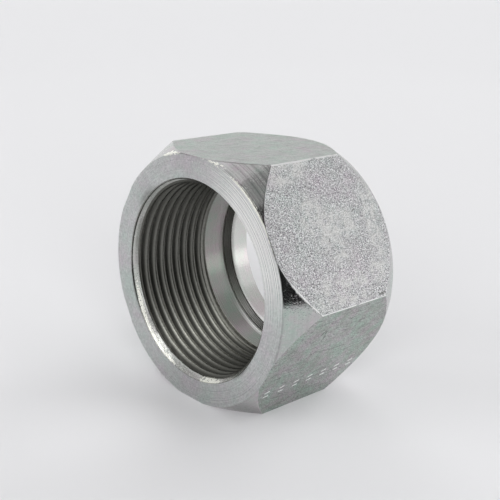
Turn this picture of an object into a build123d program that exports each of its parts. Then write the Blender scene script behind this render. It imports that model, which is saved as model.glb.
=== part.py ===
from build123d import *
from math import radians, sqrt, tan
import os

# Tube nut for a flared tube coupling, turned and drilled from hexagon bar.
# It lies on one flat of the hexagon, with its bore along Y and the threaded mouth towards -Y.
# The origin is on the axis of the bore, halfway along the nut. All sizes are in millimetres.

inch = 25.4

# Hexagon bar
across_flats = 2 * inch
bar_corner_radius = 0.3
nut_length = 31.5

# Turned ends. The front face is a little wider than the flats, so each flat trims its circle.
chamfer_angle = 30.0
front_face_over_flats = 0.4
rear_face_under_flats = 0.4

# Threaded end, for a 1 5/8 inch thread with 12 turns to the inch
thread_major_diameter = 1.625 * inch
thread_pitch = inch / 12
countersink_over_thread = 0.45
countersink_angle = 45.0

# Sleeve end. A narrow cone presses on the collar of the sleeve, and the tail passes through.
seat_width = 1.28
seat_angle = 37.0
sleeve_bore_length = 5.0
rear_bore_break = 0.35

# Radii
bar_corner_reach = across_flats / sqrt(3)
front_face_radius = (across_flats + front_face_over_flats) / 2
rear_face_radius = (across_flats - rear_face_under_flats) / 2
thread_bore_radius = (thread_major_diameter - thread_pitch) / 2
countersink_radius = (thread_major_diameter + countersink_over_thread) / 2
sleeve_bore_radius = thread_bore_radius - seat_width

# Places along the bore
front_y = -nut_length / 2
rear_y = nut_length / 2
chamfer_slope = tan(radians(chamfer_angle))
front_chamfer_y = front_y + (bar_corner_reach - front_face_radius) / chamfer_slope
rear_chamfer_y = rear_y - (bar_corner_reach - rear_face_radius) / chamfer_slope
countersink_y = front_y + (countersink_radius - thread_bore_radius) / tan(radians(countersink_angle))
seat_end_y = rear_y - sleeve_bore_length
seat_start_y = seat_end_y - seat_width / tan(radians(seat_angle))

with BuildPart() as tube_nut:
    # Hexagon bar, with flats at the top and the bottom
    with BuildSketch(Plane.XZ):
        RegularPolygon(radius=across_flats / 2, side_count=6, major_radius=False)
        fillet(vertices(), radius=bar_corner_radius)
    extrude(amount=nut_length / 2, both=True)

    # Everything the lathe cuts is one section through the wall, turned round the axis.
    # Where its end cones leave the hexagon, they end the flats in curves.
    with BuildSketch(Plane.XY):
        with BuildLine():
            Polyline(
                (countersink_radius, front_y),
                (front_face_radius, front_y),
                (bar_corner_reach, front_chamfer_y),
                (bar_corner_reach, rear_chamfer_y),
                (rear_face_radius, rear_y),
                (sleeve_bore_radius + rear_bore_break, rear_y),
                (sleeve_bore_radius, rear_y - rear_bore_break),
                (sleeve_bore_radius, seat_end_y),
                (thread_bore_radius, seat_start_y),
                (thread_bore_radius, countersink_y),
                close=True,
            )
        make_face()
    revolve(axis=Axis.Y, mode=Mode.INTERSECT)

tube_nut.part.label = "tube_nut"

os.makedirs("parts", exist_ok=True)
export_step(tube_nut.part, "parts/tube_nut.step")
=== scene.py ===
import bmesh
import bpy
import numpy as np
from math import cos, radians, sin, tan
from mathutils import Matrix, Vector
from types import SimpleNamespace


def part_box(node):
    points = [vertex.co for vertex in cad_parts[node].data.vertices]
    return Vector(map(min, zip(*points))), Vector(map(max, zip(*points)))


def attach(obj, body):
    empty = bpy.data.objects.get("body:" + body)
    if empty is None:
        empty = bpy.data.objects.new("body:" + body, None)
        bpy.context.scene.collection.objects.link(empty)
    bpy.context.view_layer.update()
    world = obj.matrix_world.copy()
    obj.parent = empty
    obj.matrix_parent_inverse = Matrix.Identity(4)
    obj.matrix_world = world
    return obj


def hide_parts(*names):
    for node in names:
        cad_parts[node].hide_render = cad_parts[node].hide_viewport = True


# A zinc plated tube nut, turned from hexagon bar, lying on one flat on a pale table.
# The frame is the CAD part's: bore along Y, threaded mouth towards -Y, Z up. Sizes here are in
# millimetres until a mesh is made, which is in metres.

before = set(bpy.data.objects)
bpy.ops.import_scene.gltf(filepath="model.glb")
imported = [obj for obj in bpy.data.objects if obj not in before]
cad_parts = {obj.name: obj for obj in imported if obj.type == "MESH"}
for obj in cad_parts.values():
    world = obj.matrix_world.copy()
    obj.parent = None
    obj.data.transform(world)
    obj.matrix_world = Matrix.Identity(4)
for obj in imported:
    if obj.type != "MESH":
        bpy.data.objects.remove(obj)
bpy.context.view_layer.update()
node_low, node_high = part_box("tube_nut")
mm = 0.001
inch = 25.4

# Sizes of the nut
front_y = node_low.y / mm
rear_y = node_high.y / mm
apothem = node_high.z / mm
floor_z = node_low.z
nut_length = rear_y - front_y
bar_corner_radius = 0.3
chamfer_slope = tan(radians(30))
front_face_radius = apothem + 0.2
rear_face_radius = apothem - 0.2
edge_softening = 0.1
seat_softening = 0.35

# Sizes of the bore, with places given as depths from the front face
thread_pitch = inch / 12
thread_major_radius = 1.625 * inch / 2
bore_radius = thread_major_radius - thread_pitch / 2
mouth_radius = thread_major_radius + 0.225
countersink_depth = mouth_radius - bore_radius
seat_width = 1.28
seat_angle = 37
seat_depth = 26.5
seat_start_depth = seat_depth - seat_width / tan(radians(seat_angle))
sleeve_bore_radius = bore_radius - seat_width
rear_bore_break = 0.35

# The thread is right handed. One groove crosses the side at 180 degrees at this depth.
groove_depth_at_left = 2.53
groove_radius = thread_major_radius + 0.2
thread_full_until = 17.9
thread_ends_at = 19.5
thread_root_half_width = 0.03
thread_flank_width = (groove_radius - bore_radius) * tan(radians(30))
thread_rounding = 0.21
mouth_rounding = 0.28
torn_height = 0.07

# Angles round the bore run from +X towards +Z. A flat is named by the angle of its middle.
top_flat = 90
frosted_flat = 30
dashed_flat = -30

# Pairs of raised strokes on the dashed flat, placed along the bar and across it
dash_pairs = 7
dash_start_y = -12.3
dash_step = 3.9
dash_start_across = -6.4
dash_rise = 0.11
dash_row_gap = 1.3
dash_row_shift = 0.2
dash_leans = (16, 8)
dash_length = 1.5
dash_width = 0.42
dash_height = 0.05
dash_foot = -0.03


def smooth_step(low, high, value):
    """0 up to the low end, 1 from the high end on, and a soft climb between them."""
    share = np.clip((value - low) / (high - low), 0, 1)
    return share * share * (3 - 2 * share)


def near(angle, middle, reach):
    """1 at the middle angle, falling softly to 0 at reach degrees from it."""
    away = np.abs((angle - middle + 180) % 360 - 180)
    return 1 - smooth_step(0, reach, away)


def band(depth, middle, width):
    """1 at the middle depth, fading out within about twice the width."""
    return np.exp(-((depth - middle) / width) ** 2)


def bar_reach(angle):
    """How far the hexagon bar reaches from the axis at each angle, with its rounded corners."""
    from_middle = radians(1) * np.abs(angle % 60 - 30)
    flat = apothem / np.cos(from_middle)
    centre = (apothem - bar_corner_radius) / cos(radians(30))
    from_corner = radians(30) - from_middle
    inside = np.maximum(bar_corner_radius ** 2 - (centre * np.sin(from_corner)) ** 2, 0)
    rounded = centre * np.cos(from_corner) + np.sqrt(inside)
    touch = np.arctan((apothem - bar_corner_radius) * tan(radians(30)) / apothem)
    return np.where(from_middle > touch, rounded, flat)


def thread_radius(angle, depth):
    """The wall's radius where the thread is cut, with rounded crests and roots, fading out at its end."""
    along = (depth - groove_depth_at_left) / thread_pitch + (angle - 180) / 360
    from_groove = np.abs(along - np.round(along)) * thread_pitch
    rise = 1 - (from_groove - thread_root_half_width) / thread_flank_width
    cut = thread_rounding * (np.logaddexp(0, rise / thread_rounding)
                             - np.logaddexp(0, (rise - 1) / thread_rounding))
    fade = 1 - smooth_step(thread_full_until, thread_ends_at, depth)
    return bore_radius + (groove_radius - bore_radius) * cut * fade


def torn_metal(angle, depth):
    """Uneven metal where the first thread breaks into the countersink, low on the mouth."""
    waves = 0
    for count, start in ((23, 0.4), (37, 1.9), (61, 4.1), (89, 2.6)):
        waves = waves + 0.25 * np.sin(np.radians(angle) * count + start + depth * 0.07 * count)
    where = np.maximum(near(angle, 245, 60), near(angle, 290, 30))
    return torn_height * waves * where * smooth_step(0.1, 0.4, depth) * (1 - smooth_step(1.8, 3.2, depth))


def wall_radius(angle, depth):
    """The wall's radius in the mouth and the thread, with a soft edge between countersink and thread."""
    thread = thread_radius(angle, depth)
    cone = mouth_radius - depth
    soft_edge = mouth_rounding * np.logaddexp(0, (thread - cone) / mouth_rounding)
    return cone + soft_edge + torn_metal(angle, depth)


def column_angles():
    """Angles of the mesh's columns: even steps, closer at the bar's corners, and one at each chord's end."""
    chord_end = np.degrees(np.arccos(apothem / front_face_radius))
    even = np.linspace(0.6, 59.4, 54)
    extra = [0, 0.15, 0.29, 59.71, 59.85, 30 - chord_end, 30 + chord_end]
    sector = np.unique(np.round(np.concatenate([even, extra]), 4))
    return np.concatenate([sector + 60 * k for k in range(6)] + [[360.0]])


# The steps of every softened edge
edge_steps = (0.0, 0.34, 0.67, 1.0)


def bend(before, corner, after, shares):
    """Points on a small curve that softens a corner, for every column at once."""
    rows = []
    for s in shares:
        rows.append((1 - s) ** 2 * before + 2 * s * (1 - s) * corner + s * s * after)
    return rows


def toward(start, end, distance):
    """Points at this distance from the start towards the end, but never past halfway."""
    step = end - start
    length = np.maximum(np.linalg.norm(step, axis=1, keepdims=True), 1e-9)
    return start + step * np.minimum(distance / length, 0.5)


class Section:
    """The wall's section as rows of (radius, depth) points, one point for every column.

    A row also holds its zone, which is the surface between it and the next row, and its wear and painted
    light.
    """

    def __init__(self, angle):
        self.angle = angle
        self.ones = np.ones(len(angle))
        self.rows = []

    def at(self, radius, depth):
        return np.stack([radius * self.ones, depth * self.ones], 1)

    def add(self, points, zone, edge=0.0, burr=0.0, rub=0.0, grime=0.0):
        wear = [share * self.ones for share in (edge, burr, rub, grime)]
        self.rows.append(SimpleNamespace(points=points, zone=zone, wear=wear))


def section_corners(section):
    """The sharp corners of the section, for every column."""
    at = section.at
    reach = bar_reach(section.angle)
    rim_radius = np.minimum(reach, front_face_radius)
    return SimpleNamespace(
        mouth=at(mouth_radius, 0),
        rim=at(rim_radius, 0),
        chamfer_end=at(reach, (reach - rim_radius) / chamfer_slope),
        rear_chamfer=at(reach, nut_length - (reach - rear_face_radius) / chamfer_slope),
        rear_rim=at(rear_face_radius, nut_length),
        rear_bore=at(sleeve_bore_radius + rear_bore_break, nut_length),
        break_end=at(sleeve_bore_radius, nut_length - rear_bore_break),
        seat_inner=at(sleeve_bore_radius, seat_depth),
        seat_outer=at(bore_radius, seat_start_depth),
        thread_end=at(bore_radius, thread_ends_at + 0.1))


def wear_at(angle):
    """Where the nut has cream burrs, painted highlights, painted shade, a stain and dark lines, as shares at
    each angle.

    The painted highlight and the painted shade line of the mouth also have their depth in millimetres.
    """
    wear = SimpleNamespace()
    # Burrs and painted highlights, painted whiter on the front rim and round the mouth
    wear.burr_patch = np.maximum(1.8 * near(angle, 106, 11), 1.15 * near(angle, 79, 15))
    wear.rim_burr = np.maximum(0.5 * wear.burr_patch, 1.6 * near(angle, 45, 33))
    wear.mouth_burr = np.minimum(2.2 * near(angle, 225, 42), 1.6)
    wear.mouth_burr_depth = 0.75 - 0.48 * smooth_step(190, 230, angle)
    wear.low_mouth_burr = 1.5 * near(angle, 285, 14)
    # Painted highlights: lighter colour along the flats' curved edges, and where the face, chamfer, seat and
    # thread crests catch the light
    wear.curve_edge = 0.2 + 0.8 * (angle < 60) * np.minimum(2 * near(angle, 0, 20), 1)
    wear.face_rub = 1.5 * near(angle, 38, 55)
    wear.chamfer_rub = 0.6 * near(angle, 50, 38)
    wear.seat_rub = near(angle, 245, 26)
    wear.thread_rub = near(angle, 242, 48)
    # Dark lines along the edges; the line round the mouth is painted shade
    mouth_left = np.minimum(1.4 * near(angle, 178, 52), 1)
    wear.mouth_line = np.maximum(mouth_left, 0.8 * near(angle, 316, 12))
    wear.mouth_line_depth = 0.27 - 0.25 * smooth_step(186, 206, angle)
    rim_upper_right = 0.9 * near(angle, 29, 15)
    wear.rim_line = np.maximum(0.3 * near(angle, -8, 40), rim_upper_right)
    wear.rim_line = np.maximum(wear.rim_line, 0.5 * near(angle, 96, 10))
    wear.curve_line = np.maximum(rim_upper_right, 0.6 * near(angle, 70, 14))
    # Painted shade: darker colour on the mouth, countersink, face, lower chamfer and seat; and one real
    # stain on the face
    wear.mouth_shade = 0.5 * near(angle, 130, 55)
    wear.inner_shade = np.maximum(0.6 * near(angle, 224, 14), 0.6 * near(angle, 165, 40))
    wear.face_stain = near(angle, 137, 15)
    wear.face_dull = 0.08 * near(angle, 262, 45)
    wear.foot_shade = 0.5 * near(angle, -64, 20)
    wear.seat_dirt = 0.45 * near(angle, 185, 50)
    return wear


def mouth_line_at(wear, depth):
    """The painted shade line that runs round the mouth, as a share at this depth."""
    return 0.8 * wear.mouth_line * band(depth, wear.mouth_line_depth, 0.17)


def mouth_burr_at(wear, depth):
    """The painted highlight round the mouth, as a share at this depth."""
    return wear.mouth_burr * band(depth, wear.mouth_burr_depth, 0.3)


def add_face(section, corner, wear):
    """The soft edge of the mouth and the front face."""
    in_mouth = section.at(mouth_radius - 0.05, 0.05)
    line = mouth_line_at(wear, 0)
    burr = mouth_burr_at(wear, 0)
    on_face = toward(corner.mouth, corner.rim, 0.1)
    # The mouth's edge and the face carry painted highlights, the painted shade line, painted shade and a
    # real stain.
    for points in bend(in_mouth, corner.mouth, on_face, edge_steps[1:]):
        section.add(points, "face", burr=burr, rub=wear.face_rub,
                    grime=np.maximum(line, 0.5 * wear.face_stain))
    for step, line_share, stain_share in ((0.25, 0.6, 0.6), (0.6, 0, 0.45), (1.3, 0, 0.15)):
        grime = np.maximum(line_share * line, stain_share * wear.face_stain)
        section.add(toward(corner.mouth, corner.rim, step), "face", rub=wear.face_rub,
                    grime=np.maximum(grime, wear.face_dull))
    section.add(toward(corner.rim, corner.mouth, 0.35), "face", rub=wear.face_rub, grime=wear.face_dull)


def add_front_chamfer(section, corner, wear, soft):
    """The front rim, the chamfer and the curved front edges of the flats.

    Where a flat cuts into the front face the chamfer has no width, and the two soft edges become one.
    """
    mouth, rim = corner.mouth, corner.rim
    chamfer_end, rear_chamfer = corner.chamfer_end, corner.rear_chamfer
    chamfer_length = np.linalg.norm(chamfer_end - rim, axis=1)[:, None]
    apart = np.clip(chamfer_length / (4 * soft), 0, 1)
    rubbed_soft = soft * (1 + 1.5 * near(section.angle, 6, 12))[:, None]
    rim_edge = bend(toward(rim, mouth, soft), rim, toward(rim, chamfer_end, soft), edge_steps)
    flat_edge = bend(toward(chamfer_end, rim, rubbed_soft), chamfer_end,
                     toward(chamfer_end, rear_chamfer, rubbed_soft), edge_steps)
    one_edge = bend(toward(rim, mouth, soft), chamfer_end, toward(chamfer_end, rear_chamfer, soft),
                    (0.0, 0.15, 0.3, 0.45, 0.55, 0.7, 0.85, 1.0))

    def settle(points, shared):
        """The points where the chamfer has width, and the shared edge where it has none."""
        return apart * points + (1 - apart) * shared

    # The rim carries burrs with painted highlights and a dark line; the chamfer has burrs, painted
    # highlights and painted shade low down.
    for k in range(4):
        section.add(settle(rim_edge[k], one_edge[k]), "face" if k < 2 else "chamfer",
                    burr=wear.rim_burr, rub=wear.face_rub, grime=wear.rim_line)
    for step, patch_share, rim_share in ((0.25, 1.0, 0.6), (0.6, 1.0, 0), (1.0, 0.35, 0)):
        burr = np.maximum(patch_share * wear.burr_patch, rim_share * wear.rim_burr)
        section.add(settle(toward(rim, chamfer_end, step), one_edge[3]), "chamfer",
                    burr=burr, rub=wear.chamfer_rub, grime=wear.foot_shade)
    section.add(settle(toward(chamfer_end, rim, 0.3), one_edge[4]), "chamfer",
                rub=wear.chamfer_rub, grime=wear.foot_shade)
    # The flats' curved front edges get a painted highlight, with dark lines in places.
    for k in range(4):
        section.add(settle(flat_edge[k], one_edge[4 + k]), "chamfer" if k < 2 else "flat",
                    edge=wear.curve_edge, grime=wear.curve_line)
    section.add(toward(chamfer_end, rear_chamfer, 0.3), "flat", edge=wear.curve_edge)
    section.add(toward(chamfer_end, rear_chamfer, 0.6), "flat")
    section.add(toward(rear_chamfer, chamfer_end, 0.3), "flat")


def add_rear_and_seat(section, corner, wear, soft):
    """The rear chamfer and face, the sleeve bore, the seat and the smooth bore, corner by corner."""
    path = [corner.chamfer_end, corner.rear_chamfer, corner.rear_rim, corner.rear_bore, corner.break_end,
            corner.seat_inner, corner.seat_outer, corner.thread_end]
    zones = ["flat", "chamfer", "rear_face", "sleeve_bore", "sleeve_bore", "seat", "smooth_bore"]
    for k in range(1, len(path) - 1):
        before, here, after = path[k - 1:k + 2]
        zone_in, zone_out = zones[k - 1:k + 1]
        outside = zone_in in ("flat", "chamfer")
        at_seat = "seat" in (zone_in, zone_out)
        reach = seat_softening if at_seat else soft
        curve = bend(toward(here, before, reach), here, toward(here, after, reach), edge_steps)
        if zone_out == "seat":
            section.add(toward(here, before, 1.0), zone_in)
        for step, points in enumerate(curve):
            # Outside edges get a painted highlight; the seat gets its painted highlight and painted shade.
            section.add(points, zone_in if step < 2 else zone_out, edge=0.4 if outside else 0.0,
                        rub=at_seat * wear.seat_rub, grime=at_seat * wear.seat_dirt)
        if zone_in == "seat":
            section.add(toward(here, after, 1.3), zone_out)
        if outside:
            section.add(toward(here, after, 0.3), zone_out)
    section.add(corner.thread_end, "thread")


def add_thread(section, wear):
    """Rows that climb with the thread, so that its crests and roots stay clean lines."""
    flank = [0.13, 0.3, 0.47, 0.62, 0.73, 0.84, 0.95]
    places = [-place for place in reversed(flank)] + [0] + flank + [thread_pitch / 2]
    climb = groove_depth_at_left - (section.angle - 180) / 360 * thread_pitch
    turns = int(thread_ends_at / thread_pitch) + 2
    for turn in range(turns, -3, -1):
        for place in reversed(places):
            depth = np.clip(climb + turn * thread_pitch + place, countersink_depth, thread_ends_at)
            # The crests carry a painted highlight low on the mouth and painted shade at its top.
            section.add(section.at(wall_radius(section.angle, depth), depth), "thread",
                        rub=wear.thread_rub, grime=wear.mouth_shade)


def add_countersink(section, wear):
    """The cone of the mouth, from the thread out to the front face."""
    for depth in np.linspace(countersink_depth, 0.05, 17)[1:]:
        # The countersink carries the painted shade line, painted shade, and the mouth's painted highlight
        # with burrs low down.
        grime = np.maximum(mouth_line_at(wear, depth), wear.mouth_shade)
        grime = np.maximum(grime, wear.inner_shade * smooth_step(0.6, 0.95, depth))
        low_burr = wear.low_mouth_burr * (1 - 0.6 * smooth_step(0.3, 1.1, depth))
        burr = np.maximum(mouth_burr_at(wear, depth), low_burr)
        radius = wall_radius(section.angle, depth * section.ones)
        section.add(section.at(radius, depth), "countersink", burr=burr, grime=grime)


def wall_section(angle):
    """All rows of the wall, once round its section, starting and ending at the mouth."""
    section = Section(angle)
    corner = section_corners(section)
    wear = wear_at(angle)
    wobble = 1 + 0.5 * np.sin(np.radians(angle) * 17) * np.sin(np.radians(angle) * 41 + 1)
    soft = (edge_softening * wobble)[:, None]
    add_face(section, corner, wear)
    add_front_chamfer(section, corner, wear, soft)
    add_rear_and_seat(section, corner, wear, soft)
    add_thread(section, wear)
    add_countersink(section, wear)
    return section.rows


zone_order = ["face", "chamfer", "flat", "lower_flat", "frosted", "rear_face", "sleeve_bore", "seat",
              "smooth_bore", "thread", "countersink", "dash"]


def zone_numbers(rows, angle):
    """The material number of every face of the wall."""
    sector = np.floor(angle[:-1] / 60).astype(int) % 6
    numbers = np.zeros((len(rows), len(angle) - 1), int)
    for k, row in enumerate(rows):
        numbers[k, :] = zone_order.index(row.zone)
        if row.zone == "flat":
            numbers[k, sector == frosted_flat % 360 // 60] = zone_order.index("frosted")
            numbers[k, sector == dashed_flat % 360 // 60] = zone_order.index("lower_flat")
    return numbers


def shine_bar_corners(edge, rows, angle):
    """Paints a highlight along the long corners of the bar on both sides of the frosted flat."""
    from_corner = 30 - np.abs(angle % 60 - 30)
    on_flat = np.array([row.zone == "flat" for row in rows])
    rubbed = np.maximum(0.8 * near(angle, 0, 5), near(angle, 60, 5))
    at_corner = from_corner < np.where(near(angle, 60, 5) > 0.5, 0.3, 0.2)
    edge[np.ix_(on_flat, at_corner)] = rubbed[at_corner]


def dash_marks():
    """Seven pairs of short raised strokes in a row on one lower flat. Each stroke is a low ridge."""
    points = []
    faces = []
    normal = Vector((cos(radians(dashed_flat)), 0, sin(radians(dashed_flat))))
    across = Vector((-normal.z, 0, normal.x))
    bar_way = Vector((0, 1, 0))
    for pair in range(dash_pairs):
        for row, lean in enumerate(dash_leans):
            middle = (normal * apothem
                      + across * (dash_start_across + pair * dash_rise - row * dash_row_gap)
                      + bar_way * (dash_start_y + pair * dash_step + row * dash_row_shift))
            long_way = bar_way * cos(radians(lean)) + across * sin(radians(lean))
            short_way = across * cos(radians(lean)) - bar_way * sin(radians(lean))
            first = len(points)
            for share, height in ((1.0, dash_foot), (0.5, dash_height)):
                half_length = dash_length / 2 - (1 - share) * dash_width
                half_width = share * dash_width / 2
                for along, wide in ((-1, -1), (1, -1), (1, 1), (-1, 1)):
                    points.append(middle + long_way * along * half_length
                                  + short_way * wide * half_width + normal * height)
            for k in range(4):
                after = (k + 1) % 4
                faces.append((first + k, first + after, first + 4 + after, first + 4 + k))
            faces.append((first + 3, first + 2, first + 1, first))
            faces.append((first + 4, first + 5, first + 6, first + 7))
    return points, faces


def build_nut():
    """One mesh of the whole nut, with the real thread."""
    angle = column_angles()
    rows = wall_section(angle)
    row_count = len(rows)
    columns = len(angle)
    section_points = np.array([row.points for row in rows])
    radius = section_points[:, :, 0]
    depth = section_points[:, :, 1]
    turn = np.radians(angle)[None, :]
    xyz = np.stack([radius * np.cos(turn), front_y + depth, radius * np.sin(turn)], 2) * mm
    this_row = np.arange(row_count)[:, None]
    column = np.arange(columns - 1)[None, :]
    lower = this_row * columns + column
    upper = (this_row + 1) % row_count * columns + column
    quads = np.stack([lower, upper, upper + 1, lower + 1], 2).reshape(-1, 4)

    dash_points, dash_faces = dash_marks()
    first = row_count * columns
    vertices = xyz.reshape(-1, 3).tolist() + [tuple(point * mm) for point in dash_points]
    faces = quads.tolist() + [tuple(first + k for k in face) for face in dash_faces]
    zones = np.concatenate([zone_numbers(rows, angle).reshape(-1),
                            np.full(len(dash_faces), zone_order.index("dash"))])
    mesh = bpy.data.meshes.new("plated_nut")
    mesh.from_pydata(vertices, [], faces)
    mesh.polygons.foreach_set("material_index", zones.astype(np.int32))
    mesh.polygons.foreach_set("use_smooth", np.ones(len(faces), bool))

    edge, burr, rub, grime = np.array([row.wear for row in rows]).swapaxes(0, 1)
    shine_bar_corners(edge, rows, angle)
    for name, shares in (("bright_edge", edge), ("burr", burr), ("rubbed", rub), ("grime", grime)):
        held = mesh.attributes.new(name, "FLOAT", "POINT")
        values = np.concatenate([shares.reshape(-1), np.zeros(len(dash_points))])
        held.data.foreach_set("value", values.astype(np.float32))
    return mesh


def close_seams(nut):
    """Merges the rows and columns that meet, and turns every face outward."""
    work = bmesh.new()
    work.from_mesh(nut.data)
    bmesh.ops.remove_doubles(work, verts=work.verts, dist=2e-6)
    bmesh.ops.dissolve_degenerate(work, dist=1e-6, edges=work.edges)
    bmesh.ops.recalc_face_normals(work, faces=work.faces)
    work.to_mesh(nut.data)
    work.free()


nut = bpy.data.objects.new("plated_tube_nut", build_nut())
bpy.context.scene.collection.objects.link(nut)
close_seams(nut)
firm = nut.modifiers.new("crisp_flats", "WEIGHTED_NORMAL")
firm.mode = "FACE_AREA_WITH_ANGLE"
firm.weight = 60


# Node helpers
def feed(tree, socket, value):
    """Joins an output to the socket, or sets the socket to a number, colour or vector."""
    if isinstance(value, bpy.types.NodeSocket):
        tree.links.new(value, socket)
    else:
        socket.default_value = value


def math_node(tree, operation, first, second):
    node = tree.nodes.new("ShaderNodeMath")
    node.operation = operation
    feed(tree, node.inputs[0], first)
    feed(tree, node.inputs[1], second)
    return node.outputs[0]


def product(tree, first, second):
    return math_node(tree, "MULTIPLY", first, second)


def total(tree, first, second):
    return math_node(tree, "ADD", first, second)


def vector_node(tree, operation, first, second=None):
    node = tree.nodes.new("ShaderNodeVectorMath")
    node.operation = operation
    feed(tree, node.inputs[0], first)
    if second is not None:
        feed(tree, node.inputs["Scale"] if operation == "SCALE" else node.inputs[1], second)
    return node.outputs["Value"] if operation in ("LENGTH", "DOT_PRODUCT") else node.outputs["Vector"]


def noise_node(tree, place, scale, detail=2.0, roughness=0.5, dimensions="3D", output=0):
    node = tree.nodes.new("ShaderNodeTexNoise")
    node.noise_dimensions = dimensions
    feed(tree, node.inputs["W" if dimensions == "1D" else "Vector"], place)
    feed(tree, node.inputs["Scale"], scale)
    feed(tree, node.inputs["Detail"], detail)
    feed(tree, node.inputs["Roughness"], roughness)
    return node.outputs[output]


def range_node(tree, value, from_low, from_high, to_low, to_high):
    """Moves a value from one range to another, and holds it at the ends."""
    node = tree.nodes.new("ShaderNodeMapRange")
    feed(tree, node.inputs["Value"], value)
    limits = {"From Min": from_low, "From Max": from_high, "To Min": to_low, "To Max": to_high}
    for name, limit in limits.items():
        feed(tree, node.inputs[name], limit)
    return node.outputs["Result"]


def mix_colour(tree, share, first, second):
    """The first colour, with this share of the second over it."""
    node = tree.nodes.new("ShaderNodeMix")
    node.data_type = "RGBA"
    feed(tree, node.inputs["Factor"], share)
    feed(tree, node.inputs[6], first)
    feed(tree, node.inputs[7], second)
    return node.outputs[2]


def bump_node(tree, height, normal=None):
    """The surface's normal with this relief on it, which is as high as the height says, in metres."""
    node = tree.nodes.new("ShaderNodeBump")
    node.inputs["Strength"].default_value = 1.0
    node.inputs["Distance"].default_value = 1.0
    feed(tree, node.inputs["Height"], height)
    if normal is not None:
        feed(tree, node.inputs["Normal"], normal)
    return node.outputs["Normal"]


def millimetres(tree):
    """The part's own coordinates in millimetres."""
    place = tree.nodes.new("ShaderNodeTexCoord")
    return vector_node(tree, "SCALE", place.outputs["Object"], 1 / mm)


def distance_from_axis(tree, place):
    return vector_node(tree, "LENGTH", vector_node(tree, "MULTIPLY", place, (1, 0, 1)))


def named_share(tree, name):
    """A share that the mesh holds at its points."""
    node = tree.nodes.new("ShaderNodeAttribute")
    node.attribute_name = name
    return node.outputs["Fac"]


def new_group(name, inputs, outputs):
    """An empty node group with these sockets, and the two nodes that bring them in and out."""
    tree = bpy.data.node_groups.new(name, "ShaderNodeTree")
    for socket_name, kind, value in inputs:
        socket = tree.interface.new_socket(name=socket_name, in_out="INPUT", socket_type=kind)
        socket.default_value = value
    for socket_name, kind in outputs:
        tree.interface.new_socket(name=socket_name, in_out="OUTPUT", socket_type=kind)
    start = tree.nodes.new("NodeGroupInput")
    end = tree.nodes.new("NodeGroupOutput")
    return tree, start.outputs, end.inputs


def use_group(tree, group, **values):
    """Places a group in a material. An underscore in a value's name stands for a space."""
    node = tree.nodes.new("ShaderNodeGroup")
    node.node_tree = group
    for name, value in values.items():
        feed(tree, node.inputs[name.replace("_", " ")], value)
    return node.outputs


def plating_tint_group():
    """Zinc plating: a grey that drifts between faint green and faint pink, in soft clouds."""
    tree, given, result = new_group(
        "plating_tint",
        [("Grey", "NodeSocketColor", (0.6, 0.62, 0.61, 1)),
         ("Green", "NodeSocketColor", (0.52, 0.64, 0.58, 1)),
         ("Pink", "NodeSocketColor", (0.66, 0.57, 0.62, 1)),
         ("Cloud Size", "NodeSocketFloat", 6.0),
         ("Amount", "NodeSocketFloat", 0.5)],
        [("Color", "NodeSocketColor")])
    place = millimetres(tree)
    scale = math_node(tree, "DIVIDE", 1.0, given["Cloud Size"])
    clouds = noise_node(tree, place, scale, 4.0, 0.6)
    fine = noise_node(tree, place, product(tree, scale, 7.0), 3.0, 0.6)
    both = total(tree, product(tree, clouds, 0.75), product(tree, fine, 0.25))
    green_share = product(tree, range_node(tree, both, 0.50, 0.36, 0, 1), given["Amount"])
    pink_share = product(tree, range_node(tree, both, 0.52, 0.64, 0, 1), given["Amount"])
    colour = mix_colour(tree, green_share, given["Grey"], given["Green"])
    feed(tree, result["Color"], mix_colour(tree, pink_share, colour, given["Pink"]))
    return tree


def turning_marks_group():
    """Rings left by a turning tool, round the bore's axis, on faces, cones and bores alike."""
    tree, given, result = new_group(
        "turning_marks",
        [("Width", "NodeSocketFloat", 0.8),
         ("Depth", "NodeSocketFloat", 0.01)],
        [("Height", "NodeSocketFloat"), ("Rings", "NodeSocketFloat")])
    place = millimetres(tree)
    split = tree.nodes.new("ShaderNodeSeparateXYZ")
    feed(tree, split.inputs[0], place)
    along_profile = math_node(tree, "SUBTRACT", distance_from_axis(tree, place), split.outputs["Y"])
    drift = product(tree, noise_node(tree, place, 0.12, 1.0), 0.12)
    wandering = total(tree, along_profile, drift)
    per_width = math_node(tree, "DIVIDE", wandering, given["Width"])
    broad = noise_node(tree, per_width, 1.0, 1.0, 0.5, "1D")
    fine = noise_node(tree, product(tree, per_width, 3.3), 1.0, 2.0, 0.6, "1D")
    rings = total(tree, product(tree, broad, 0.6), product(tree, fine, 0.4))
    feed(tree, result["Height"], product(tree, product(tree, rings, given["Depth"]), mm))
    feed(tree, result["Rings"], rings)
    return tree


def grain_group():
    """Fine grain of the plating: its height, an even speckle, and the few grains that glint."""
    tree, given, result = new_group(
        "grain",
        [("Size", "NodeSocketFloat", 0.4),
         ("Depth", "NodeSocketFloat", 0.02)],
        [("Height", "NodeSocketFloat"), ("Speckle", "NodeSocketFloat"), ("Glint", "NodeSocketFloat")])
    place = millimetres(tree)
    scale = math_node(tree, "DIVIDE", 1.0, given["Size"])
    pits = noise_node(tree, place, scale, 2.0, 0.6)
    dots = noise_node(tree, place, product(tree, scale, 1.37), 1.0, 0.5)
    feed(tree, result["Height"], product(tree, product(tree, pits, given["Depth"]), mm))
    feed(tree, result["Speckle"], range_node(tree, pits, 0.3, 0.7, 0, 1))
    feed(tree, result["Glint"], range_node(tree, dots, 0.62, 0.74, 0, 1))
    return tree


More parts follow.
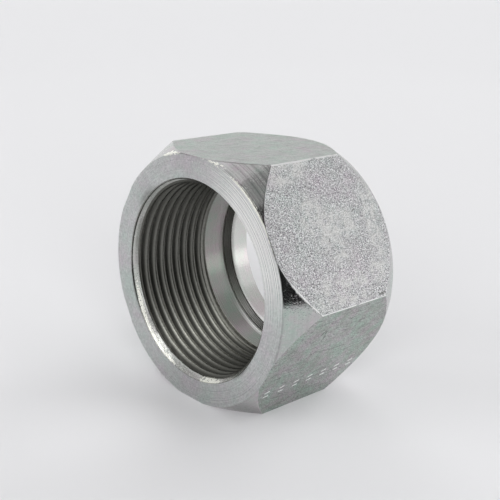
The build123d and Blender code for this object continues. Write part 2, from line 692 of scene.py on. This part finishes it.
def scratches_group():
    """Fine straight scratches along one direction, broken up so that none runs the whole way."""
    tree, given, result = new_group(
        "scratches",
        [("Turn", "NodeSocketVector", (0, 0, 0)),
         ("Spacing", "NodeSocketFloat", 0.3),
         ("Length", "NodeSocketFloat", 6.0),
         ("Depth", "NodeSocketFloat", 0.01)],
        [("Height", "NodeSocketFloat"), ("Mask", "NodeSocketFloat")])
    turned = tree.nodes.new("ShaderNodeVectorRotate")
    turned.rotation_type = "EULER_XYZ"
    feed(tree, turned.inputs["Vector"], millimetres(tree))
    feed(tree, turned.inputs["Rotation"], given["Turn"])
    stretch = tree.nodes.new("ShaderNodeCombineXYZ")
    for way, size in (("X", "Spacing"), ("Y", "Length"), ("Z", "Spacing")):
        feed(tree, stretch.inputs[way], math_node(tree, "DIVIDE", 1.0, given[size]))
    stretched = vector_node(tree, "MULTIPLY", turned.outputs[0], stretch.outputs[0])
    lines = noise_node(tree, stretched, 1.0, 2.0, 0.6)
    feed(tree, result["Height"], product(tree, product(tree, lines, given["Depth"]), mm))
    feed(tree, result["Mask"], range_node(tree, lines, 0.56, 0.7, 0, 1))
    return tree


def worn_edges_group():
    """Painted highlights along edges, a stain and painted shade in dark lines and patches, and cream burrs
    with painted highlights where metal tore.
    """
    tree, given, result = new_group(
        "worn_edges",
        [("Color", "NodeSocketColor", (0.6, 0.6, 0.6, 1)),
         ("Roughness", "NodeSocketFloat", 0.3)],
        [("Color", "NodeSocketColor"), ("Roughness", "NodeSocketFloat"), ("Height", "NodeSocketFloat")])
    place = millimetres(tree)
    long_breaks = noise_node(tree, place, 0.35, 2.0, 0.6)
    short_breaks = noise_node(tree, place, 1.6, 2.0, 0.6)
    # Painted highlight: near-white colour along edges where this share is set.
    rubbed = product(tree, named_share(tree, "bright_edge"),
                     range_node(tree, long_breaks, 0.3, 0.7, 0.3, 1.7))
    rubbed = range_node(tree, rubbed, 0.4, 0.7, 0, 1)
    # Burrs and painted highlights: cream-white colour where this share is set.
    torn = product(tree, named_share(tree, "burr"),
                   range_node(tree, short_breaks, 0.3, 0.7, 0.2, 1.8))
    torn = range_node(tree, torn, 0.45, 0.6, 0, 1)
    # A real stain and painted shade, broken up by noise.
    dirt = product(tree, named_share(tree, "grime"),
                   range_node(tree, short_breaks, 0.3, 0.5, 0.6, 1))
    # Darker for a stain and painted shade, near white for painted highlights on edges, cream-white for burrs
    # and painted highlights.
    colour = mix_colour(tree, dirt, given["Color"], (0.08, 0.08, 0.07, 1))
    colour = mix_colour(tree, rubbed, colour, (1.0, 1.0, 0.99, 1))
    feed(tree, result["Color"], mix_colour(tree, torn, colour, (1.0, 1.0, 0.92, 1)))
    rough = total(tree, given["Roughness"], product(tree, rubbed, 0.12))
    feed(tree, result["Roughness"], total(tree, rough, product(tree, torn, 0.08)))
    feed(tree, result["Height"], product(tree, torn, 0.03 * mm))
    return tree


def spot_group():
    """One uneven spot round a short line, with its place, direction, length and width in millimetres."""
    tree, given, result = new_group(
        "spot",
        [("Middle", "NodeSocketVector", (0, 0, 0)),
         ("Along", "NodeSocketVector", (0, 1, 0)),
         ("Length", "NodeSocketFloat", 1.0),
         ("Width", "NodeSocketFloat", 0.2),
         ("Mask So Far", "NodeSocketFloat", 0.0)],
        [("Mask", "NodeSocketFloat")])
    place = millimetres(tree)
    offset = vector_node(tree, "SUBTRACT", place, given["Middle"])
    wander = vector_node(tree, "SUBTRACT", noise_node(tree, place, 1.1, output="Color"), (0.5, 0.5, 0.5))
    offset = vector_node(tree, "ADD", offset, vector_node(tree, "SCALE", wander, 0.9))
    forward = vector_node(tree, "DOT_PRODUCT", offset, given["Along"])
    half = product(tree, given["Length"], 0.5)
    held = math_node(tree, "MAXIMUM", forward, product(tree, half, -1))
    held = math_node(tree, "MINIMUM", held, half)
    nearest = vector_node(tree, "SCALE", given["Along"], held)
    away = vector_node(tree, "LENGTH", vector_node(tree, "SUBTRACT", offset, nearest))
    mask = range_node(tree, math_node(tree, "DIVIDE", away, given["Width"]), 0.3, 0.6, 1, 0)
    feed(tree, result["Mask"], math_node(tree, "MAXIMUM", mask, given["Mask So Far"]))
    return tree


def blotches_group():
    """Soft blotches all over a surface, as a value that drifts about a half."""
    tree, given, result = new_group(
        "blotches",
        [("Scale", "NodeSocketFloat", 0.35),
         ("Detail", "NodeSocketFloat", 4.0),
         ("Roughness", "NodeSocketFloat", 0.6)],
        [("Value", "NodeSocketFloat")])
    value = noise_node(tree, millimetres(tree), given["Scale"], given["Detail"], given["Roughness"])
    feed(tree, result["Value"], value)
    return tree


def dented_metal_group():
    """Dents, wherever the mask is: darker inside and sunk by the depth in millimetres."""
    tree, given, result = new_group(
        "dented_metal",
        [("Color", "NodeSocketColor", (0.6, 0.6, 0.6, 1)),
         ("Inside", "NodeSocketColor", (0.1, 0.1, 0.1, 1)),
         ("Mask", "NodeSocketFloat", 0.0),
         ("Depth", "NodeSocketFloat", 0.04)],
        [("Color", "NodeSocketColor"), ("Height", "NodeSocketFloat")])
    darker = product(tree, given["Mask"], 0.7)
    feed(tree, result["Color"], mix_colour(tree, darker, given["Color"], given["Inside"]))
    feed(tree, result["Height"], product(tree, given["Mask"], product(tree, given["Depth"], -mm)))
    return tree


plating_tint = plating_tint_group()
turning_marks = turning_marks_group()
grain = grain_group()
scratches = scratches_group()
worn_edges = worn_edges_group()
spot = spot_group()
blotches = blotches_group()
dented_metal = dented_metal_group()


def new_metal(name, turned=0.0):
    """A metal shader. A turned one spreads its reflections across the turning marks."""
    material = bpy.data.materials.new(name)
    material.use_nodes = True
    tree = material.node_tree
    shader = tree.nodes["Principled BSDF"]
    shader.inputs["Metallic"].default_value = 1.0
    if turned > 0:
        shader.inputs["Anisotropic"].default_value = turned
        shader.inputs["Anisotropic Rotation"].default_value = 0.25
        round_axis = tree.nodes.new("ShaderNodeTangent")
        round_axis.direction_type = "RADIAL"
        round_axis.axis = "Y"
        feed(tree, shader.inputs["Tangent"], round_axis.outputs["Tangent"])
    return material, tree, shader


def finish_metal(tree, shader, colour, roughness, normal):
    """Adds edge wear, painted highlights and painted shade, and joins everything to the shader."""
    worn = use_group(tree, worn_edges, Color=colour, Roughness=roughness)
    feed(tree, shader.inputs["Base Color"], worn["Color"])
    feed(tree, shader.inputs["Roughness"], worn["Roughness"])
    feed(tree, shader.inputs["Normal"], bump_node(tree, worn["Height"], normal))


def tinted(grey, red, green, blue):
    return (grey[0] * red, grey[1] * green, grey[2] * blue, 1)


def plating_colour(tree, grey, cloud_size, amount):
    """Plating of this grey, drifting to a greener and a pinker one."""
    plating = use_group(tree, plating_tint, Grey=grey, Green=tinted(grey, 0.87, 1.05, 0.96),
                        Pink=tinted(grey, 1.08, 0.91, 1.03), Cloud_Size=cloud_size, Amount=amount)
    return plating["Color"]


def turned_metal(name, grey, roughness, ring_width, ring_depth, turned=0.0, ring_share=0.25,
                 tint_share=0.5, grain_depth=0.006, speckle_share=0.08, glint=0.0):
    """A plated surface left by the lathe: rings, a little grain, painted highlights on some rings and a few
    specks painted as glints.
    """
    material, tree, shader = new_metal(name, turned)
    marks = use_group(tree, turning_marks, Width=ring_width, Depth=ring_depth)
    rings = marks["Rings"]
    specks = use_group(tree, grain, Size=0.38, Depth=grain_depth)
    dark_ring = range_node(tree, rings, 0.4, 0.6, ring_share, 0)
    colour = mix_colour(tree, dark_ring, plating_colour(tree, grey, 6.0, tint_share), (0.22, 0.22, 0.23, 1))
    dark_speck = range_node(tree, specks["Speckle"], 0, 1, speckle_share, 0)
    colour = mix_colour(tree, dark_speck, colour, (0.15, 0.15, 0.16, 1))
    # Painted highlight: lighter rings where the mesh's highlight share is set.
    rub = product(tree, named_share(tree, "rubbed"), range_node(tree, rings, 0.44, 0.54, 0.1, 1))
    colour = mix_colour(tree, rub, colour, (1.0, 1.0, 0.98, 1))
    # Painted glints: some grains whitened in the colour, and raised in the bump below.
    glints = product(tree, specks["Glint"], glint)
    colour = mix_colour(tree, glints, colour, (0.95, 0.95, 0.93, 1))
    rough = range_node(tree, rings, 0.35, 0.65, roughness * 0.8, roughness * 1.2)
    normal = bump_node(tree, marks["Height"])
    normal = bump_node(tree, specks["Height"], normal)
    normal = bump_node(tree, product(tree, glints, 0.04 * mm), normal)
    finish_metal(tree, shader, colour, rough, normal)
    return material


def spot_mask(tree, flat, spots):
    """All the spots of one flat as one mask.

    A spot is (across, along, lean, length, width), from the flat's middle line and from mid-length.
    """
    turn = radians(flat)
    normal = Vector((cos(turn), 0, sin(turn)))
    side = Vector((-sin(turn), 0, cos(turn)))
    bar_way = Vector((0, 1, 0))
    mask = 0.0
    for across, along, lean, length, width in spots:
        middle = normal * apothem + side * across + bar_way * along
        long_way = bar_way * cos(radians(lean)) + side * sin(radians(lean))
        mask = use_group(tree, spot, Middle=middle, Along=long_way, Length=length, Width=width,
                         Mask_So_Far=mask)["Mask"]
    return mask


def drawn_metal(name, grey, scratch_share, tint_share, flat, dents):
    """A flat of the drawn bar: satin, with faint scratches along and across the bar, and its dents."""
    material, tree, shader = new_metal(name)
    lengthwise = use_group(tree, scratches, Spacing=0.35, Length=5.0, Depth=0.01)
    crossing = use_group(tree, scratches, Turn=(0.5, 0.3, 0.7), Spacing=0.45, Length=6.0, Depth=0.012)
    specks = use_group(tree, grain, Size=0.25, Depth=0.012)
    colour = plating_colour(tree, grey, 4.0, tint_share)
    for marks in (lengthwise, crossing):
        darker = range_node(tree, marks["Mask"], 0, 1, 0, scratch_share)
        colour = mix_colour(tree, darker, colour, (0.12, 0.14, 0.13, 1))
    darker = range_node(tree, specks["Speckle"], 0.2, 0.8, scratch_share, 0)
    colour = mix_colour(tree, darker, colour, (0.15, 0.16, 0.15, 1))
    normal = None
    for marks in (lengthwise, crossing, specks):
        normal = bump_node(tree, marks["Height"], normal)
    dented = use_group(tree, dented_metal, Color=colour, Inside=(0.08, 0.08, 0.07, 1),
                       Mask=spot_mask(tree, flat, dents), Depth=0.04)
    normal = bump_node(tree, dented["Height"], normal)
    stains = use_group(tree, blotches, Scale=0.35, Detail=4.0, Roughness=0.6)["Value"]
    stained = range_node(tree, stains, 0.45, 0.65, 0, 0.35 * scratch_share)
    colour = mix_colour(tree, stained, dented["Color"], (0.3, 0.3, 0.26, 1))
    rough = range_node(tree, stains, 0.35, 0.65, 0.289, 0.391)
    finish_metal(tree, shader, colour, rough, normal)
    return material


def frosted_metal(name, grey, flat, dents, pale_patches):
    """The flat whose plating came out frosted: strong grain, specks painted white as glints, and pale
    clouds.
    """
    material, tree, shader = new_metal(name)
    specks = use_group(tree, grain, Size=0.17, Depth=0.085)
    clouds = use_group(tree, blotches, Scale=0.1, Detail=5.0, Roughness=0.65)["Value"]
    breaks = use_group(tree, blotches, Scale=0.45, Detail=4.0, Roughness=0.65)["Value"]
    broken = range_node(tree, breaks, 0.42, 0.55, 0.1, 0.9)
    pale = product(tree, spot_mask(tree, flat, pale_patches), broken)
    pale = math_node(tree, "MAXIMUM", pale, range_node(tree, clouds, 0.56, 0.66, 0, 0.35))
    colour = mix_colour(tree, pale, plating_colour(tree, grey, 8.0, 1.0), (0.86, 0.86, 0.83, 1))
    contrast = range_node(tree, pale, 0, 1, 1.0, 0.55)
    darker = product(tree, range_node(tree, specks["Speckle"], 0.24, 0.53, 1, 0), contrast)
    colour = mix_colour(tree, darker, colour, (0.12, 0.115, 0.125, 1))
    # Painted glints: the brightest specks turned white in the colour.
    lighter = product(tree, range_node(tree, specks["Speckle"], 0.5, 0.63, 0, 1), contrast)
    colour = mix_colour(tree, lighter, colour, (1.0, 1.0, 1.0, 1))
    dented = use_group(tree, dented_metal, Color=colour, Inside=(0.1, 0.1, 0.08, 1),
                       Mask=spot_mask(tree, flat, dents), Depth=0.03)
    normal = bump_node(tree, dented["Height"], bump_node(tree, specks["Height"]))
    rough = range_node(tree, clouds, 0.35, 0.65, 0.3, 0.42)
    finish_metal(tree, shader, dented["Color"], rough, normal)
    return material


def thread_metal(name):
    """The cut thread: thinly plated, with painted shade darkening it down in its grooves and a painted
    highlight on the crests low on the mouth.
    """
    material, tree, shader = new_metal(name)
    radius = distance_from_axis(tree, millimetres(tree))
    # Painted shade: the colour darkens from the crest down into the grooves.
    into_groove = range_node(tree, radius, bore_radius + 0.1, bore_radius + 0.6, 0, 1)
    specks = use_group(tree, grain, Size=0.45, Depth=0.012)
    # Painted highlight: crests turn pale where the mesh's highlight share is set.
    rubbed = named_share(tree, "rubbed")
    crest = mix_colour(tree, rubbed, (0.23, 0.23, 0.21, 1), (0.62, 0.62, 0.55, 1))
    groove = mix_colour(tree, rubbed, (0.09, 0.09, 0.08, 1), (0.14, 0.14, 0.125, 1))
    colour = mix_colour(tree, into_groove, crest, groove)
    patchy = range_node(tree, specks["Speckle"], 0.2, 0.8, 0.4, 0)
    colour = mix_colour(tree, patchy, colour, (0.12, 0.12, 0.11, 1))
    rough = range_node(tree, specks["Speckle"], 0, 1, 0.3, 0.38)
    finish_metal(tree, shader, colour, rough, bump_node(tree, specks["Height"]))
    return material


def dash_metal(name):
    """The raised strokes, painted near white as a highlight."""
    material, tree, shader = new_metal(name)
    specks = use_group(tree, grain, Size=0.4, Depth=0.01)
    colour = mix_colour(tree, specks["Speckle"], (0.9, 0.92, 0.9, 1), (1.0, 1.0, 1.0, 1))
    feed(tree, shader.inputs["Base Color"], colour)
    feed(tree, shader.inputs["Roughness"], range_node(tree, specks["Speckle"], 0, 1, 0.5, 0.7))
    feed(tree, shader.inputs["Normal"], bump_node(tree, specks["Height"]))
    return material


top_dents = [
    (-14.4, -3.2, 5, 1.8, 0.4),
    (-14.3, -9.5, 5, 1.2, 0.35),
]
lower_dents = [
    (8.6, -5.3, 60, 1.3, 0.4),
    (7.9, -4.6, 100, 2.0, 0.4),
    (6.6, -4.4, 60, 1.0, 0.4),
    (8.85, 4.81, 60, 0.7, 0.4),
    (10.63, 1.32, 50, 0.6, 0.4),
]
frosted_dents = [
    (3.12, 7.66, 30, 1.0, 0.25),
    (-11.53, 10.83, 10, 0.8, 0.3),
    (-13.95, 7.79, 0, 1.6, 0.5),
    (-1.46, -1.08, 60, 0.7, 0.25),
]
frosted_patches = [
    (0.6, -1.5, -58, 8.0, 9.0),
    (1.0, 3.0, 0, 3.0, 7.0),
    (13.0, -6.0, 10, 6.0, 5.0),
    (2.0, 12.0, 80, 10.0, 4.5),
    (-8.0, 9.5, 60, 4.0, 4.5),
    (-11.5, -2.0, 5, 9.0, 7.0),
]
metals = {
    "face": turned_metal("turned_face", (0.69, 0.705, 0.695, 1), 0.34, 0.24, 0.012, turned=0.8,
                         ring_share=0.2, grain_depth=0.02, speckle_share=0.35),
    "chamfer": turned_metal("turned_chamfer", (0.59, 0.585, 0.58, 1), 0.145, 0.18, 0.025, turned=0.6,
                            ring_share=0.15, tint_share=0.9, grain_depth=0.01, speckle_share=0.15,
                            glint=0.28),
    "flat": drawn_metal("drawn_flat", (0.76, 0.80, 0.77, 1), 0.3, 0.6, top_flat, top_dents),
    # The lower flat's grey is set darker than the top flat's as painted shade, for the shadowed table it
    # reflects.
    "lower_flat": drawn_metal("drawn_lower_flat", (0.59, 0.63, 0.60, 1), 0.7, 1.7, dashed_flat,
                              lower_dents),
    "frosted": frosted_metal("frosted_flat", (0.56, 0.56, 0.565, 1), frosted_flat, frosted_dents,
                             frosted_patches),
    "rear_face": turned_metal("turned_rear_face", (0.59, 0.62, 0.61, 1), 0.34, 0.9, 0.04, turned=0.8,
                              grain_depth=0.01, speckle_share=0.12),
    "sleeve_bore": turned_metal("sleeve_bore", (0.74, 0.74, 0.71, 1), 0.22, 0.3, 0.002, ring_share=0.04),
    "seat": turned_metal("turned_seat", (0.42, 0.42, 0.385, 1), 0.3, 0.3, 0.002, ring_share=0.06),
    "smooth_bore": turned_metal("smooth_bore", (0.31, 0.31, 0.29, 1), 0.24, 0.3, 0.003, ring_share=0.08,
                                tint_share=1.0),
    "thread": thread_metal("cut_thread"),
    "countersink": turned_metal("countersink", (0.66, 0.67, 0.63, 1), 0.2, 0.3, 0.01, tint_share=0.3,
                                grain_depth=0.03, speckle_share=0.2, glint=0.6),
    "dash": dash_metal("rubbed_dash"),
}
for zone in zone_order:
    nut.data.materials.append(metals[zone])

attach(nut, "root")
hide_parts("tube_nut")


def round_the_nut(azimuth, height):
    """The direction seen from the nut. Azimuth 0 is -Y and 90 is +X, and height is above the table."""
    return Vector((sin(radians(azimuth)) * cos(radians(height)),
                   -cos(radians(azimuth)) * cos(radians(height)),
                   sin(radians(height))))


# Table and backdrop in one pale sheet
table_reach = 5.0
table_corners = [(-table_reach, -table_reach), (table_reach, -table_reach),
                 (table_reach, table_reach), (-table_reach, table_reach)]
table_mesh = bpy.data.meshes.new("table")
table_mesh.from_pydata([(x, y, floor_z) for x, y in table_corners], [], [(0, 1, 2, 3)])
table = bpy.data.objects.new("table", table_mesh)
bpy.context.scene.collection.objects.link(table)
paper = bpy.data.materials.new("pale_paper")
paper.use_nodes = True
paper_shader = paper.node_tree.nodes["Principled BSDF"]
paper_shader.inputs["Base Color"].default_value = (0.80, 0.80, 0.815, 1)
paper_shader.inputs["Roughness"].default_value = 0.9
paper_shader.inputs["Specular IOR Level"].default_value = 0.1
table_mesh.materials.append(paper)


def glowing_card(name, brightness):
    """A card's finish, black apart from its glow."""
    material = bpy.data.materials.new(name)
    material.use_nodes = True
    shader = material.node_tree.nodes["Principled BSDF"]
    shader.inputs["Base Color"].default_value = (0, 0, 0, 1)
    shader.inputs["Roughness"].default_value = 1.0
    shader.inputs["Specular IOR Level"].default_value = 0.0
    shader.inputs["Emission Color"].default_value = (1, 1, 1, 1)
    shader.inputs["Emission Strength"].default_value = brightness
    return material


def studio_card(name, azimuths, heights, distance, brightness):
    """A part of a sphere round the nut that only the metal sees, cut off just above the table."""
    steps = 12
    points = []
    for height in np.linspace(heights[0], heights[1], steps + 1):
        for azimuth in np.linspace(azimuths[0], azimuths[1], steps + 1):
            point = distance * round_the_nut(azimuth, height)
            point.z = max(point.z, floor_z + 0.0005)
            points.append(point)
    faces = []
    for i in range(steps):
        for j in range(steps):
            first = i * (steps + 1) + j
            faces.append((first, first + 1, first + steps + 2, first + steps + 1))
    mesh = bpy.data.meshes.new(name)
    mesh.from_pydata(points, [], faces)
    mesh.materials.append(glowing_card(name, brightness))
    card = bpy.data.objects.new(name, mesh)
    bpy.context.scene.collection.objects.link(card)
    card.visible_camera = False
    card.visible_diffuse = False
    card.visible_shadow = False
    card.visible_transmission = False


# Cards, each with its azimuths, its heights, its distance in metres and its brightness
studio_card("dark_curtain", (41, 92), (-22, 60), 0.165, 0.02)
studio_card("dim_ceiling", (-5, 112), (57, 84), 0.5, 0.25)
studio_card("high_ceiling", (0, 360), (72, 89.9), 0.62, 0.56)
studio_card("softbox", (-18, 20), (34, 52), 0.6, 2.0)
studio_card("low_softbox", (18, 36), (2, 33), 0.62, 1.05)
studio_card("front_wall", (-30, 17), (-4, 24), 0.64, 0.45)
studio_card("left_wall", (-62, -30), (-2, 48), 0.7, 0.45)
studio_card("far_left_wall", (-96, -62), (-2, 48), 0.72, 0.7)
studio_card("left_lamp", (-118, -98), (4, 36), 0.6, 0.9)
studio_card("back_wall", (-170, -123), (0, 40), 0.7, 0.63)
studio_card("right_wall", (138, 190), (34, 62), 0.7, 0.54)
studio_card("right_lamp", (112, 150), (-3, 14), 0.7, 1.25)

# The room. The camera and the metal see a pale grey, and the table gets a dim even light from it.
background_grey = (0.782, 0.782, 0.797, 1)
world = bpy.data.worlds.new("pale_room")
bpy.context.scene.world = world
world.use_nodes = True
sky = world.node_tree
sky.nodes.clear()
path = sky.nodes.new("ShaderNodeLightPath")
seen = math_node(sky, "MAXIMUM", path.outputs["Is Camera Ray"], path.outputs["Is Glossy Ray"])
seen = math_node(sky, "MAXIMUM", seen, path.outputs["Is Transmission Ray"])
dome = sky.nodes.new("ShaderNodeBackground")
dome.inputs["Color"].default_value = (1, 1, 1, 1)
dome.inputs["Strength"].default_value = 0.3
backdrop = sky.nodes.new("ShaderNodeBackground")
backdrop.inputs["Color"].default_value = background_grey
backdrop.inputs["Strength"].default_value = 1.0
choose = sky.nodes.new("ShaderNodeMixShader")
room = sky.nodes.new("ShaderNodeOutputWorld")
sky.links.new(seen, choose.inputs["Fac"])
sky.links.new(dome.outputs[0], choose.inputs[1])
sky.links.new(backdrop.outputs[0], choose.inputs[2])
sky.links.new(choose.outputs[0], room.inputs["Surface"])


def soft_sun(name, azimuth, height, strength, spread):
    """Even soft light over the whole table, from that side. It is not seen in the metal."""
    data = bpy.data.lights.new(name, "SUN")
    data.energy = strength
    data.angle = radians(spread)
    lamp = bpy.data.objects.new(name, data)
    bpy.context.scene.collection.objects.link(lamp)
    lamp.rotation_mode = "QUATERNION"
    lamp.rotation_quaternion = round_the_nut(azimuth, height).to_track_quat("Z", "Y")
    lamp.visible_glossy = False


# Each lamp is (azimuth, height, strength), all round the nut as in a light tent.
lamps = [
    (180, 20, 1.07), (210, 20, 0.24), (240, 20, 0.69), (330, 20, 0.67), (0, 20, 0.25),
    (30, 20, 1.07), (60, 20, 1.38), (120, 40, 0.22), (120, 65, 0.28),
]
for azimuth, height, strength in lamps:
    soft_sun(f"light_{azimuth}_{height}", azimuth, height, strength, 30)

# Camera, found from the photograph
camera_place = Vector((136.58, -127.79, 61.60)) * mm
camera_azimuth = 46.992
camera_height = 17.221
camera_roll = radians(1.681)
back = round_the_nut(camera_azimuth, camera_height)
level_right = Vector((cos(radians(camera_azimuth)), sin(radians(camera_azimuth)), 0))
level_up = back.cross(level_right)
right = cos(camera_roll) * level_right + sin(camera_roll) * level_up
up = -sin(camera_roll) * level_right + cos(camera_roll) * level_up
camera_data = bpy.data.cameras.new("photo_camera")
camera_data.sensor_width = 36
camera_data.lens = 67.607
camera_data.clip_start = 0.01
camera_data.clip_end = 20
camera = bpy.data.objects.new("photo_camera", camera_data)
bpy.context.scene.collection.objects.link(camera)
camera.matrix_world = Matrix((
    (right.x, up.x, back.x, camera_place.x),
    (right.y, up.y, back.y, camera_place.y),
    (right.z, up.z, back.z, camera_place.z),
    (0, 0, 0, 1)))
bpy.context.scene.camera = camera
bpy.context.scene.view_settings.view_transform = "Standard"
